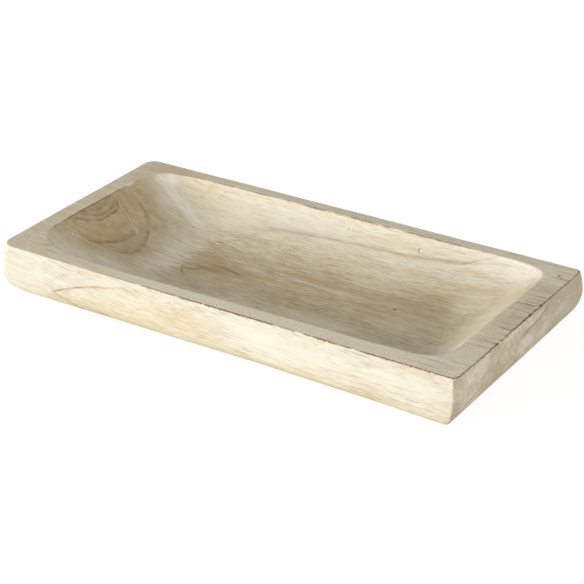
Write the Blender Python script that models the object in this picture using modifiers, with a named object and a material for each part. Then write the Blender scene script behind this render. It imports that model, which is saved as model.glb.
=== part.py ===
"""Carved wooden tray: a solid plank hollowed into a long, shallow basin, standing on four felt feet.

The tray lies along X, its long front side faces -Y, and Z is up. The origin is on the surface that
it stands on, under its middle. All lengths are in metres.
"""

import math

import bmesh
import bpy

# The plank that the tray is carved from
PLANK_LENGTH = 0.400
PLANK_WIDTH = 0.200
PLANK_HEIGHT = 0.0382

# The plank's faces bow out from its top edge down to its widest level, a little above its middle
WIDEST_HEIGHT_SHARE = 0.565
END_BOW = 0.0015
SIDE_BOW = 0.0016

# The ends were sawn a little out of square, so the tray is this much shorter along its front
LEFT_END_SKEW = 0.0010
RIGHT_END_SKEW = 0.0016

# Where the plank's faces turn under: how far in, and how far up, each rounding reaches
LEFT_END_UNDERCUT_RUN = 0.0175
LEFT_END_UNDERCUT_RISE = 0.0157
FRONT_RIGHT_UNDERCUT_RUN = 0.0118
FRONT_RIGHT_UNDERCUT_RISE = 0.0200
BACK_RIGHT_UNDERCUT_RUN = 0.0147
BACK_RIGHT_UNDERCUT_RISE = 0.0215
SIDE_UNDERCUT_AT_LEFT = 0.0095
SIDE_UNDERCUT_AT_RIGHT = 0.0060

# Upright corners of the plank, worn rounder at the top. Three widen as the faces turn under them,
# and the one at the front right sharpens towards its foot
LEFT_CORNER_RADIUS = 0.0070
BACK_RIGHT_CORNER_RADIUS = 0.0014
LEFT_WIDENING_SHARE = 0.50
BACK_RIGHT_WIDENING_SHARE = 1.20
FRONT_RIGHT_CORNER_RADIUS = 0.0030
FRONT_RIGHT_SHARPENING_HEIGHT = 0.0120
FRONT_RIGHT_LEAST_RADIUS_SHARE = 0.25
TOP_CORNER_WEAR = 0.0014
FRONT_LEFT_CORNER_WEAR = 0.0030

# Sanded edge round the top of the plank
OUTER_EDGE_EASE = 0.0005

# Wood left round and under the basin
SIDE_RIM_WIDTH = 0.0113
LEFT_RIM_WIDTH = 0.0177
RIGHT_RIM_WIDTH = 0.0200
FLOOR_THICKNESS = 0.0088

# Basin walls: how far each reaches inwards from the rim before it meets the flat floor. The right
# slope is short and steep at the tray's front, and longer and gentler towards its back
LEFT_SLOPE_RUN = 0.0870
RIGHT_SLOPE_FRONT_RUN = 0.0400
RIGHT_SLOPE_BACK_RUN = 0.0580
SIDE_WALL_RUN = 0.0540
BASIN_EDGE_EASE = 0.0010

# Wall profiles: an end slope is a parabola at a fullness of 2, and fuller above that; a long wall is
# a quarter of an ellipse at a steepness of 2, and leans more below that
LEFT_SLOPE_FULLNESS = 2.4
RIGHT_SLOPE_FRONT_FULLNESS = 1.35
RIGHT_SLOPE_BACK_FULLNESS = 1.9
SIDE_WALL_STEEPNESS = 1.35

# Superellipse exponents of the basin's outline: square corners at the rim, which the carver left a
# little rounder at the front left, and rounder ones at the floor
FRONT_LEFT_SQUARENESS = 6.5
FRONT_RIGHT_SQUARENESS = 9.5
BACK_LEFT_SQUARENESS = 9.0
BACK_RIGHT_SQUARENESS = 12.0
FLOOR_SQUARENESS = 4.4

# Felt feet, glued under the corners
FOOT_DIAMETER = 0.0100
FOOT_THICKNESS = 0.0015
FOOT_EDGE_SOFTNESS = 0.0002
GLUE_GAP = 0.0003
LEFT_FOOT_MARGIN = 0.0135
RIGHT_FOOT_MARGIN = 0.0058
SIDE_FOOT_MARGIN = 0.0035
FRONT_RIGHT_FOOT_MARGIN = 0.0005

# How finely the curved surfaces are divided
CORNER_STEPS = 7
UNDERCUT_RINGS = 12
BOW_RINGS = 6
EASE_RINGS = 3
END_STEPS = 11
LONG_SIDE_STEPS = 17
CORNER_CROWDING = 1.5
WALL_RINGS = 14
FOOT_SIDES = 32

CUTTER_OVERRUN = 0.0050
SMOOTH_ANGLE = math.radians(32)

PLANK_BOTTOM = FOOT_THICKNESS + GLUE_GAP
PLANK_TOP = PLANK_BOTTOM + PLANK_HEIGHT
HALF_LENGTH = PLANK_LENGTH / 2
HALF_WIDTH = PLANK_WIDTH / 2
TOP_HALF_LENGTH = HALF_LENGTH - END_BOW
TOP_HALF_WIDTH = HALF_WIDTH - SIDE_BOW
BASIN_DEPTH = PLANK_HEIGHT - FLOOR_THICKNESS


def clear_scene():
    for leftover in list(bpy.data.objects):
        bpy.data.objects.remove(leftover, do_unlink=True)


def new_collection(name):
    collection = bpy.data.collections.new(name)
    bpy.context.scene.collection.children.link(collection)
    return collection


def new_material(name, colour, roughness):
    material = bpy.data.materials.new(name)
    material.use_nodes = True
    shader = material.node_tree.nodes["Principled BSDF"]
    shader.inputs["Base Color"].default_value = (*colour, 1)
    shader.inputs["Roughness"].default_value = roughness
    shader.inputs["Metallic"].default_value = 0
    return material


def loft(name, rings, collection):
    """A closed solid through rings of points, from the lowest ring to the highest."""
    shape = bmesh.new()
    levels = [[shape.verts.new(point) for point in ring] for ring in rings]
    for lower, upper in zip(levels, levels[1:]):
        for i in range(len(lower)):
            j = (i + 1) % len(lower)
            shape.faces.new((lower[i], lower[j], upper[j], upper[i]))
    shape.faces.new(list(reversed(levels[0])))
    shape.faces.new(levels[-1])
    mesh = bpy.data.meshes.new(name)
    shape.to_mesh(mesh)
    shape.free()
    mesh.shade_smooth()
    mesh.set_sharp_from_angle(angle=SMOOTH_ANGLE)
    solid = bpy.data.objects.new(name, mesh)
    collection.objects.link(solid)
    return solid


def quarter_round(height, run, rise):
    """How far a rounding of this run and rise has drawn in, at a height above where it starts."""
    left = max(0, 1 - height / rise)
    return run * (1 - math.sqrt(1 - left * left))


def rounded_rectangle(corners, z):
    """Counter-clockwise outline through corners, each given as the x and y of its tip and its radius."""
    points = []
    for quarter, (tip_x, tip_y, radius) in enumerate(corners):
        centre_x = tip_x - math.copysign(radius, tip_x)
        centre_y = tip_y - math.copysign(radius, tip_y)
        for step in range(CORNER_STEPS + 1):
            angle = math.radians(90 * (quarter - 1 + step / CORNER_STEPS))
            points.append((centre_x + radius * math.cos(angle), centre_y + radius * math.sin(angle), z))
    return points


def plank_section(height):
    """The plank's outline at a height above its underside."""
    below_top = PLANK_HEIGHT - height
    ease = quarter_round(below_top, OUTER_EDGE_EASE, OUTER_EDGE_EASE)
    widest = WIDEST_HEIGHT_SHARE * PLANK_HEIGHT
    towards_top = max(0, (height - widest) / (PLANK_HEIGHT - widest))
    end_inset = ease + END_BOW * towards_top**2
    side_inset = ease + SIDE_BOW * towards_top**2
    left_inset = end_inset + quarter_round(height, LEFT_END_UNDERCUT_RUN, LEFT_END_UNDERCUT_RISE)
    front_right_undercut = quarter_round(height, FRONT_RIGHT_UNDERCUT_RUN, FRONT_RIGHT_UNDERCUT_RISE)
    back_right_undercut = quarter_round(height, BACK_RIGHT_UNDERCUT_RUN, BACK_RIGHT_UNDERCUT_RISE)
    left_end = left_inset - HALF_LENGTH
    front_right_end = HALF_LENGTH - end_inset - front_right_undercut - RIGHT_END_SKEW
    back_right_end = HALF_LENGTH - end_inset - back_right_undercut
    at_left = HALF_WIDTH - side_inset - quarter_round(height, SIDE_UNDERCUT_AT_LEFT, SIDE_UNDERCUT_AT_LEFT)
    at_right = HALF_WIDTH - side_inset - quarter_round(height, SIDE_UNDERCUT_AT_RIGHT, SIDE_UNDERCUT_AT_RIGHT)
    wear = TOP_CORNER_WEAR * towards_top
    left_radius = LEFT_CORNER_RADIUS + LEFT_WIDENING_SHARE * left_inset
    radius_share = max(FRONT_RIGHT_LEAST_RADIUS_SHARE, min(1, height / FRONT_RIGHT_SHARPENING_HEIGHT))
    back_right_widening = BACK_RIGHT_WIDENING_SHARE * (end_inset + back_right_undercut)
    corners = (
        (front_right_end, -at_right, FRONT_RIGHT_CORNER_RADIUS * radius_share),
        (back_right_end, at_right, BACK_RIGHT_CORNER_RADIUS + back_right_widening + wear),
        (left_end, at_left, left_radius + wear),
        (left_end + LEFT_END_SKEW, -at_left, left_radius + FRONT_LEFT_CORNER_WEAR * towards_top),
    )
    return rounded_rectangle(corners, PLANK_BOTTOM + height)


def plank_heights():
    """Levels for the loft, close together where the faces turn most."""
    rise = max(LEFT_END_UNDERCUT_RISE, BACK_RIGHT_UNDERCUT_RISE, SIDE_UNDERCUT_AT_LEFT)
    heights = []
    for step in range(UNDERCUT_RINGS + 1):
        heights.append(rise * (1 - math.cos(math.radians(90 * step / UNDERCUT_RINGS))))
    for step in range(1, BOW_RINGS):
        heights.append(rise + (PLANK_HEIGHT - OUTER_EDGE_EASE - rise) * step / BOW_RINGS)
    for step in range(EASE_RINGS, -1, -1):
        drop = OUTER_EDGE_EASE * (1 - math.cos(math.radians(90 * step / EASE_RINGS)))
        heights.append(PLANK_HEIGHT - drop)
    return heights


def rim_squareness(cosine, sine):
    """The exponent of the rim's outline in the quarter that this direction lies in."""
    if sine > 0:
        return BACK_RIGHT_SQUARENESS if cosine > 0 else BACK_LEFT_SQUARENESS
    return FRONT_RIGHT_SQUARENESS if cosine > 0 else FRONT_LEFT_SQUARENESS


def side_share(step, steps):
    """How far along half a side a step comes, with shorter steps towards the corner."""
    return 1 - (1 - step / steps) ** CORNER_CROWDING


def basin_directions():
    """Directions, seen from the middle of the basin, of the points that make each of its rings."""
    end_side = [math.atan(side_share(step, END_STEPS)) for step in range(END_STEPS)]
    long_side = [
        math.pi / 2 - math.atan(side_share(step, LONG_SIDE_STEPS))
        for step in range(LONG_SIDE_STEPS, -1, -1)
    ]
    quarter = end_side + long_side
    back_right = quarter[:-1]
    back_left = [math.pi - angle for angle in reversed(quarter[1:])]
    front_left = [math.pi + angle for angle in quarter[:-1]]
    front_right = [2 * math.pi - angle for angle in reversed(quarter[1:])]
    return back_right + back_left + front_left + front_right


def basin_section(directions, side_inset, end_insets, drop_share, z):
    """A ring of the basin: a superellipse whose corner and right end differ from front to back."""
    left_inset, right_front_inset, right_back_inset = end_insets
    left = TOP_HALF_LENGTH - LEFT_RIM_WIDTH - left_inset
    half_width = TOP_HALF_WIDTH - SIDE_RIM_WIDTH - side_inset
    ring = []
    for angle in directions:
        cosine = math.cos(angle)
        sine = math.sin(angle)
        at_rim = rim_squareness(cosine, sine)
        squareness = at_rim + (FLOOR_SQUARENESS - at_rim) * drop_share
        stretch = (abs(cosine) ** squareness + abs(sine) ** squareness) ** (-1 / squareness)
        backward = 0.5 + 0.5 * sine * stretch
        right_inset = right_front_inset + (right_back_inset - right_front_inset) * backward
        right = TOP_HALF_LENGTH - RIGHT_RIM_WIDTH - right_inset
        reach = right if cosine > 0 else left
        ring.append((reach * cosine * stretch, half_width * sine * stretch, z))
    return ring


def wall_inset_share(drop_share, steepness, fullness):
    """How far across its run a wall has come when it has dropped this share of its depth."""
    return 1 - max(0, 1 - drop_share**steepness) ** (1 / fullness)


def basin_rings():
    """Rings of the basin, from its flat floor up to the rim and on past the top of the plank."""
    directions = basin_directions()
    wall_depth = BASIN_DEPTH - BASIN_EDGE_EASE
    wall_top = PLANK_TOP - BASIN_EDGE_EASE
    end_slopes = (
        (LEFT_SLOPE_RUN, LEFT_SLOPE_FULLNESS),
        (RIGHT_SLOPE_FRONT_RUN, RIGHT_SLOPE_FRONT_FULLNESS),
        (RIGHT_SLOPE_BACK_RUN, RIGHT_SLOPE_BACK_FULLNESS),
    )
    rings = []
    for step in range(WALL_RINGS, -1, -1):
        drop_share = math.sin(math.radians(90 * step / WALL_RINGS))
        rings.append(
            basin_section(
                directions,
                SIDE_WALL_RUN * wall_inset_share(drop_share, SIDE_WALL_STEEPNESS, 2),
                [run * wall_inset_share(drop_share, 1, fullness) for run, fullness in end_slopes],
                drop_share,
                wall_top - wall_depth * drop_share,
            )
        )
    # The sanded edge is a quarter round over an upright wall, and a longer curve over a slope
    end_lips = [2 * BASIN_EDGE_EASE * run / (wall_depth * fullness) for run, fullness in end_slopes]
    for step in range(1, EASE_RINGS + 1):
        angle = math.radians(90 * step / EASE_RINGS)
        side_lip = BASIN_EDGE_EASE * (1 - math.cos(angle))
        rise = BASIN_EDGE_EASE * math.sin(angle)
        lip_share = 1 - math.sqrt(max(0, 1 - math.sin(angle)))
        rings.append(
            basin_section(
                directions,
                -side_lip,
                [-lip * lip_share for lip in end_lips],
                0,
                wall_top + rise,
            )
        )
    rings.append([(x, y, PLANK_TOP + CUTTER_OVERRUN) for x, y, z in rings[-1]])
    return rings


def build_tray_body(tray, cutters, wood):
    plank = loft("tray_body", [plank_section(height) for height in plank_heights()], tray)
    plank.data.materials.append(wood)
    basin = loft("basin_cutter", basin_rings(), cutters)
    basin.data.materials.append(wood)
    basin.display_type = "WIRE"
    basin.hide_render = True
    carve = plank.modifiers.new("carve basin", "BOOLEAN")
    carve.operation = "DIFFERENCE"
    carve.solver = "EXACT"
    carve.object = basin


def build_foot(name, x, y, tray, felt):
    bpy.ops.mesh.primitive_cylinder_add(
        vertices=FOOT_SIDES,
        radius=FOOT_DIAMETER / 2,
        depth=FOOT_THICKNESS,
        location=(x, y, FOOT_THICKNESS / 2),
    )
    foot = bpy.context.object
    foot.name = name
    foot.data.name = name
    for collection in list(foot.users_collection):
        collection.objects.unlink(foot)
    tray.objects.link(foot)
    foot.data.materials.append(felt)
    foot.data.shade_smooth()
    foot.data.set_sharp_from_angle(angle=SMOOTH_ANGLE)
    edge = foot.modifiers.new("soft edge", "BEVEL")
    edge.width = FOOT_EDGE_SOFTNESS
    edge.segments = 2
    edge.limit_method = "ANGLE"
    edge.angle_limit = SMOOTH_ANGLE


def build_feet(tray, felt):
    """Four die-cut felt discs on the flat part of the underside, one stuck nearer to the edge."""
    radius = FOOT_DIAMETER / 2
    left_x = LEFT_END_UNDERCUT_RUN + LEFT_FOOT_MARGIN + radius - HALF_LENGTH
    right_x = HALF_LENGTH - BACK_RIGHT_UNDERCUT_RUN - RIGHT_FOOT_MARGIN - radius
    side_y = HALF_WIDTH - SIDE_UNDERCUT_AT_LEFT - SIDE_FOOT_MARGIN - radius
    front_right_y = HALF_WIDTH - SIDE_UNDERCUT_AT_RIGHT - FRONT_RIGHT_FOOT_MARGIN - radius
    build_foot("felt_foot_front_left", left_x, -side_y, tray, felt)
    build_foot("felt_foot_front_right", right_x, -front_right_y, tray, felt)
    build_foot("felt_foot_back_left", left_x, side_y, tray, felt)
    build_foot("felt_foot_back_right", right_x, side_y, tray, felt)


clear_scene()
tray_collection = new_collection("wooden_tray")
cutter_collection = new_collection("cutters")
whitewashed_wood = new_material("whitewashed wood", (0.68, 0.59, 0.43), 0.7)
grey_felt = new_material("grey felt", (0.30, 0.29, 0.27), 0.95)
build_tray_body(tray_collection, cutter_collection, whitewashed_wood)
build_feet(tray_collection, grey_felt)
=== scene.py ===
import math

import bpy
import numpy as np
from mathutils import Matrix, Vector


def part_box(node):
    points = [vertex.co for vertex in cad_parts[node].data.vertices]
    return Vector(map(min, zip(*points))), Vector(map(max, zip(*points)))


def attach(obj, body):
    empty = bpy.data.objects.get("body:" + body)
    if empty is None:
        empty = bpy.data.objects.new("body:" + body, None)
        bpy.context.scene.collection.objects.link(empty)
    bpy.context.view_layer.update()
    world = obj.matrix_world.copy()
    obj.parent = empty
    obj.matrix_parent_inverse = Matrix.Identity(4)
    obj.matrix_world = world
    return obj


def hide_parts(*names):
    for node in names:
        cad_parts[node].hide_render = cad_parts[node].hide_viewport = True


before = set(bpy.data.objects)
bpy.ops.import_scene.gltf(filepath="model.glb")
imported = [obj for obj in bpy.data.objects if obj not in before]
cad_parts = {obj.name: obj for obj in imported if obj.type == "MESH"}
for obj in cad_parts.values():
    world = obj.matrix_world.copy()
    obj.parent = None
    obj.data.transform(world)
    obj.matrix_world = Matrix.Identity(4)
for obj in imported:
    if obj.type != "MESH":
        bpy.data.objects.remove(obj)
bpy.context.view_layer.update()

scene = bpy.context.scene
scene.view_settings.view_transform = "Standard"

# Camera
# A long lens looks down on the tray from its front right, as in a catalogue picture. Its place and
# angle were found by matching the outline of a 400 mm tray to the picture, 584 pixels square.
IMAGE_SIZE_PIXELS = 584
LENS_PIXELS = 1846.5
SENSOR_WIDTH_MM = 36
CAMERA_TURN = math.radians(32.45)
CAMERA_RISE = math.radians(26.83)
CAMERA_DISTANCE = 1.4235
CAMERA_AIM = Vector((-0.0046, 0.0151, 0.0023))

towards_camera = Vector((
    math.sin(CAMERA_TURN) * math.cos(CAMERA_RISE),
    -math.cos(CAMERA_TURN) * math.cos(CAMERA_RISE),
    math.sin(CAMERA_RISE),
))
camera_data = bpy.data.cameras.new("picture_camera")
camera_data.sensor_width = SENSOR_WIDTH_MM
camera_data.lens = LENS_PIXELS / IMAGE_SIZE_PIXELS * SENSOR_WIDTH_MM
camera = bpy.data.objects.new("picture_camera", camera_data)
camera.location = CAMERA_AIM + towards_camera * CAMERA_DISTANCE
camera.rotation_euler = (-towards_camera).to_track_quat("-Z", "Y").to_euler()
scene.collection.objects.link(camera)
scene.camera = camera

# Carved body, the shape
# One thick plank of pale hardwood, sawn square, turned under along its lower edges, and hollowed
# with a gouge and sander into a long basin with sloped ends. Nothing on it is quite straight.
WIDEST_HEIGHT = 0.0216
END_BOW = 0.0015
SIDE_BOW = 0.0016
LEFT_END_SKEW = 0.0010
RIGHT_END_SKEW = 0.0016
LEFT_END_UNDERCUT = (0.0175, 0.0157)
FRONT_RIGHT_UNDERCUT = (0.0118, 0.0200)
BACK_RIGHT_UNDERCUT = (0.0147, 0.0215)
SIDE_UNDERCUT_ALONG = ((-1.0, -0.3, 0.2, 0.7, 1.0), (0.0088, 0.0100, 0.0105, 0.0080, 0.0048))
LEFT_CORNER_RADIUS = 0.0070
FRONT_RIGHT_CORNER_CUT = (0.0028, 0.0050)
FRONT_RIGHT_CUT_FADE = 0.0120
FRONT_RIGHT_CUT_LEAST_SHARE = 0.25
BACK_RIGHT_CORNER_RADIUS = 0.0014
FRONT_RIGHT_CORNER_POWER = 1.15
LEFT_WIDENING_SHARE = 0.50
BACK_RIGHT_WIDENING_SHARE = 1.20
TOP_CORNER_WEAR = 0.0014
FRONT_LEFT_CORNER_WEAR = 0.0030
OUTER_EDGE_EASE = 0.0005
SIDE_RIM_WIDTH = 0.0113
LEFT_RIM_WIDTH = 0.0177
RIGHT_RIM_WIDTHS = (0.0236, 0.0198)
FRONT_RIM_EXTRA_ALONG = (
    (-1.0, -0.5, 0.0, 0.4, 0.8, 1.0),
    (0.0012, 0.0006, 0.0025, 0.0042, 0.0047, 0.0032),
)
FLOOR_THICKNESS = 0.0088
BASIN_EDGE_EASE = 0.0010
LEFT_SLOPE = (0.0870, 2.4)
RIGHT_SLOPE_IN_FRONT = (0.0400, 1.35)
RIGHT_SLOPE_AT_BACK = (0.0580, 1.9)
SIDE_WALL_RUN = 0.0540
SIDE_WALL_STEEPNESS = 1.35
SQUARENESS_FRONT_LEFT = 6.5
SQUARENESS_FRONT_RIGHT = 9.5
SQUARENESS_BACK_LEFT = 9.0
SQUARENESS_BACK_RIGHT = 12.0
SQUARENESS_FLOOR = 4.4
FLOOR_RINGS = 38
WALL_RINGS = 40
EASE_RINGS = 5
RIM_RINGS = 16
SIDE_RINGS = 14
UNDERCUT_RINGS = 14
RIM_CROWDING = 1.4
RIM_FIRST_SHARE = 0.012
EDGE_WANDER = 0.0006
EDGE_WANDER_LENGTH = 0.055
EDGE_WANDER_REACH = 0.008
GOUGE_DEPTH = 0.00035
GOUGE_LENGTH = 0.016
GOUGE_REACH = 0.004
FACE_DIP = 0.0005
FACE_DIP_LENGTH = 0.070
FACE_DIP_REACH = 0.006
FACE_STRIPS = (0.030, 0.020)
OUTSIDE_MARGIN = 0.0002

plank_low, plank_high = (Vector(corner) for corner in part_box("tray_body"))
half_length = (plank_high.x - plank_low.x) / 2
half_width = (plank_high.y - plank_low.y) / 2
plank_height = plank_high.z - plank_low.z
wall_depth = plank_height - FLOOR_THICKNESS - BASIN_EDGE_EASE


def wall_inset_share(drop_share, steepness, fullness):
    return 1 - max(0, 1 - drop_share**steepness) ** (1 / fullness)


def quarter_round(height, run, rise):
    left = np.clip(1 - height / rise, 0, 1)
    return run * (1 - np.sqrt(1 - left * left))


def basin_levels():
    """Rings from the middle of the floor out to the rim, each with its three end reaches (left,
    right in front, right at the back), its half width, its height and its share of the drop."""
    left_reach = half_length - END_BOW - LEFT_RIM_WIDTH
    right_reaches = [half_length - END_BOW - width for width in RIGHT_RIM_WIDTHS]
    rim_half_width = half_width - SIDE_BOW - SIDE_RIM_WIDTH
    wall_top = plank_high.z - BASIN_EDGE_EASE
    ends = (
        (left_reach, *LEFT_SLOPE),
        (right_reaches[0], *RIGHT_SLOPE_IN_FRONT),
        (right_reaches[1], *RIGHT_SLOPE_AT_BACK),
    )
    walls = []
    for step in range(WALL_RINGS, -1, -1):
        drop_share = math.sin(0.5 * math.pi * step / WALL_RINGS)
        reaches = [end - run * wall_inset_share(drop_share, 1, fullness) for end, run, fullness in ends]
        half = rim_half_width - SIDE_WALL_RUN * wall_inset_share(drop_share, SIDE_WALL_STEEPNESS, 2)
        walls.append((*reaches, half, wall_top - wall_depth * drop_share, drop_share))
    floor = []
    for step in range(FLOOR_RINGS):
        part = step / FLOOR_RINGS
        floor.append((*[reach * part for reach in walls[0][:4]], *walls[0][4:]))
    lips = []
    for step in range(1, EASE_RINGS + 1):
        angle = 0.5 * math.pi * step / EASE_RINGS
        lip_share = 1 - math.sqrt(max(0, 1 - math.sin(angle)))
        widening = 2 * BASIN_EDGE_EASE * lip_share / wall_depth
        reaches = [end + widening * run / fullness for end, run, fullness in ends]
        half = rim_half_width + BASIN_EDGE_EASE * (1 - math.cos(angle))
        lips.append((*reaches, half, wall_top + BASIN_EDGE_EASE * math.sin(angle), 0))
    return floor + walls + lips


def outer_levels():
    """Rings of the outside from the eased top edge down to the flat underside, each with its insets
    (left, front right, back right, and the sides' without its undercut), its wear and its height."""
    heights = []
    for step in range(EASE_RINGS + 1):
        heights.append(plank_height - OUTER_EDGE_EASE * (1 - math.cos(0.5 * math.pi * step / EASE_RINGS)))
    rise = max(LEFT_END_UNDERCUT[1], BACK_RIGHT_UNDERCUT[1])
    side_top = heights[-1]
    for step in range(1, SIDE_RINGS):
        heights.append(side_top + (rise - side_top) * step / SIDE_RINGS)
    for step in range(UNDERCUT_RINGS, -1, -1):
        heights.append(rise * (1 - math.cos(0.5 * math.pi * step / UNDERCUT_RINGS)))
    levels = []
    for height in heights:
        ease = quarter_round(plank_height - height, OUTER_EDGE_EASE, OUTER_EDGE_EASE)
        towards_top = max(0, (height - WIDEST_HEIGHT) / (plank_height - WIDEST_HEIGHT))
        end_inset = ease + END_BOW * towards_top**2
        levels.append((
            end_inset + quarter_round(height, *LEFT_END_UNDERCUT),
            end_inset + quarter_round(height, *FRONT_RIGHT_UNDERCUT),
            end_inset + quarter_round(height, *BACK_RIGHT_UNDERCUT),
            ease + SIDE_BOW * towards_top**2,
            towards_top,
            height,
        ))
    return levels


def basin_ring(level, square_x, square_y):
    """Where points of the unit square's edge go on a ring of the basin."""
    left, right_in_front, right_at_back, width, height, share = level
    at_rim = np.where(
        square_y > 0,
        np.where(square_x > 0, SQUARENESS_BACK_RIGHT, SQUARENESS_BACK_LEFT),
        np.where(square_x > 0, SQUARENESS_FRONT_RIGHT, SQUARENESS_FRONT_LEFT),
    )
    power = at_rim + (SQUARENESS_FLOOR - at_rim) * share
    stretch = (np.abs(square_x) ** power + np.abs(square_y) ** power) ** (-1 / power)
    backward = 0.5 + 0.5 * square_y * stretch
    right = right_in_front + (right_at_back - right_in_front) * backward
    reach = np.where(square_x > 0, right, left)
    front_extra = np.interp(square_x, *FRONT_RIM_EXTRA_ALONG) * (square_y < 0) * (1 - share)
    x = reach * square_x * stretch
    y = (width - front_extra) * square_y * stretch
    return np.stack([x, y, np.full_like(x, height)], 1)


def outer_ring(level, square_x, square_y):
    """Where points of the unit square's edge go on a ring of the outside."""
    left_inset, right_in_front, right_at_back, side_inset, wear_share, height = level
    on_right = square_x > 0
    in_front = square_y < 0
    right_inset = right_in_front + (right_at_back - right_in_front) * (0.5 + 0.5 * square_y)
    reach = half_length - np.where(on_right, right_inset, left_inset)
    side_undercut = np.interp(square_x, *SIDE_UNDERCUT_ALONG)
    width = half_width - side_inset - quarter_round(height, side_undercut, side_undercut)
    wear = wear_share * np.where(~on_right & in_front, FRONT_LEFT_CORNER_WEAR, TOP_CORNER_WEAR)
    left_radius = LEFT_CORNER_RADIUS + LEFT_WIDENING_SHARE * left_inset + wear
    back_right_radius = BACK_RIGHT_CORNER_RADIUS + BACK_RIGHT_WIDENING_SHARE * right_at_back + wear
    cut_share = max(FRONT_RIGHT_CUT_LEAST_SHARE, min(1, height / FRONT_RIGHT_CUT_FADE))
    cut_x, cut_y = (
        np.where(on_right, np.where(in_front, cut * cut_share, back_right_radius), left_radius)
        for cut in FRONT_RIGHT_CORNER_CUT
    )
    x = reach * np.abs(square_x)
    y = width * np.abs(square_y)
    past_x = np.maximum(x - (reach - cut_x), 0) / cut_x
    past_y = np.maximum(y - (width - cut_y), 0) / cut_y
    power = np.where(on_right & in_front, FRONT_RIGHT_CORNER_POWER, 2)
    in_corner = (past_x > 0) & (past_y > 0)
    away = np.where(in_corner, (past_x**power + past_y**power) ** (1 / power), 1)
    x = np.where(in_corner, reach - cut_x + cut_x * past_x / away, x)
    y = np.where(in_corner, width - cut_y + cut_y * past_y / away, y) * np.sign(square_y)
    skew_share = 0.5 - 0.5 * y / half_width
    x = np.where(on_right, x - RIGHT_END_SKEW * skew_share, LEFT_END_SKEW * skew_share - x)
    return np.stack([x, y, np.full_like(x, plank_low.z + height)], 1)


# The top is a square grid of quads whose rings follow the basin, the rim and the eased outer edge
basin = basin_levels()
outside = outer_levels()
rim_shares = [RIM_FIRST_SHARE]
rim_shares += [1 - (1 - step / RIM_RINGS) ** RIM_CROWDING for step in range(1, RIM_RINGS)]
top_levels = outside[:EASE_RINGS + 1]
spans_x = [0.5 * level[0] + 0.25 * (level[1] + level[2]) for level in basin]
spans_y = [level[3] for level in basin]
outer_span_x = half_length - 0.5 * (top_levels[0][0] + top_levels[0][1])
outer_span_y = half_width - top_levels[0][3]
inner_span_x = spans_x[-1]
inner_span_y = spans_y[-1]
for share in rim_shares:
    spans_x.append(inner_span_x + share * (outer_span_x - inner_span_x))
    spans_y.append(inner_span_y + share * (outer_span_y - inner_span_y))
for level in top_levels:
    spans_x.append(half_length - 0.5 * (level[0] + level[1]))
    spans_y.append(half_width - level[3])
spans_x = np.array(spans_x)
spans_y = np.array(spans_y)
last = len(spans_x) - 1


def square_edge(columns, rows):
    """The point of the unit square's edge in the direction of each grid crossing."""
    ring = np.maximum(np.maximum(np.abs(columns), np.abs(rows)), 1)
    edge_x = np.sign(columns) * spans_x[np.abs(columns)] / spans_x[ring]
    edge_y = np.sign(rows) * spans_y[np.abs(rows)] / spans_y[ring]
    return np.clip(edge_x, -1, 1), np.clip(edge_y, -1, 1)


reach = np.arange(-last, last + 1)
grid_columns, grid_rows = (axis.ravel() for axis in np.meshgrid(reach, reach, indexing="ij"))
ring_of = np.maximum(np.abs(grid_columns), np.abs(grid_rows))
edge_x, edge_y = square_edge(grid_columns, grid_rows)
top_points = np.zeros((len(ring_of), 3))
for ring in range(last + 1):
    here = ring_of == ring
    if ring == 0:
        top_points[here] = (0, 0, basin[0][4])
    elif ring < len(basin):
        top_points[here] = basin_ring(basin[ring], edge_x[here], edge_y[here])
    elif ring < len(basin) + len(rim_shares):
        inner_side = basin_ring(basin[-1], edge_x[here], edge_y[here])
        outer_side = outer_ring(outside[0], edge_x[here], edge_y[here])
        top_points[here] = inner_side + rim_shares[ring - len(basin)] * (outer_side - inner_side)
    else:
        level = top_levels[ring - len(basin) - len(rim_shares)]
        top_points[here] = outer_ring(level, edge_x[here], edge_y[here])

# Rings of quads run down the sides and round under them to one flat face
up = np.arange(-last, last)
loop_columns = np.concatenate([np.full(2 * last, last), -up, np.full(2 * last, -last), up])
loop_rows = np.concatenate([up, np.full(2 * last, last), -up, np.full(2 * last, -last)])
loop_x, loop_y = square_edge(loop_columns, loop_rows)
side_points = np.concatenate([outer_ring(level, loop_x, loop_y) for level in outside[EASE_RINGS + 1:]])
points = np.concatenate([top_points, side_points])
grid_size = 2 * last + 1
grid = np.arange(grid_size * grid_size).reshape(grid_size, grid_size)
quads = [np.stack([
    grid[:-1, :-1].ravel(), grid[1:, :-1].ravel(), grid[1:, 1:].ravel(), grid[:-1, 1:].ravel(),
], 1)]
upper = grid[loop_columns + last, loop_rows + last]
for number in range(len(outside) - EASE_RINGS - 1):
    lower = len(top_points) + number * len(loop_columns) + np.arange(len(loop_columns))
    quads.append(np.stack([upper, lower, np.roll(lower, -1), np.roll(upper, -1)], 1))
    upper = lower
faces = np.concatenate(quads).tolist() + [upper[::-1].tolist()]


def signed_distance(points, edge):
    """How far points lie from an edge of the rim, and less than 0 on its inner side."""
    outward = np.sign((np.abs(points[:, :2]) - np.abs(edge[:, :2])).sum(1))
    return outward * np.linalg.norm(points - edge, axis=1)


# Wear and dark lines follow the rim's two edges, so each point keeps its distance from both
inner_edge = basin_ring(basin[-1], edge_x, edge_y)
outer_edge = outer_ring(outside[0], edge_x, edge_y)
below_top = plank_high.z - side_points[:, 2]
from_inner_edge = np.concatenate([
    signed_distance(top_points, inner_edge), np.full(len(below_top), half_width),
])
from_outer_edge = np.concatenate([signed_distance(top_points, outer_edge), below_top])


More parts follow.
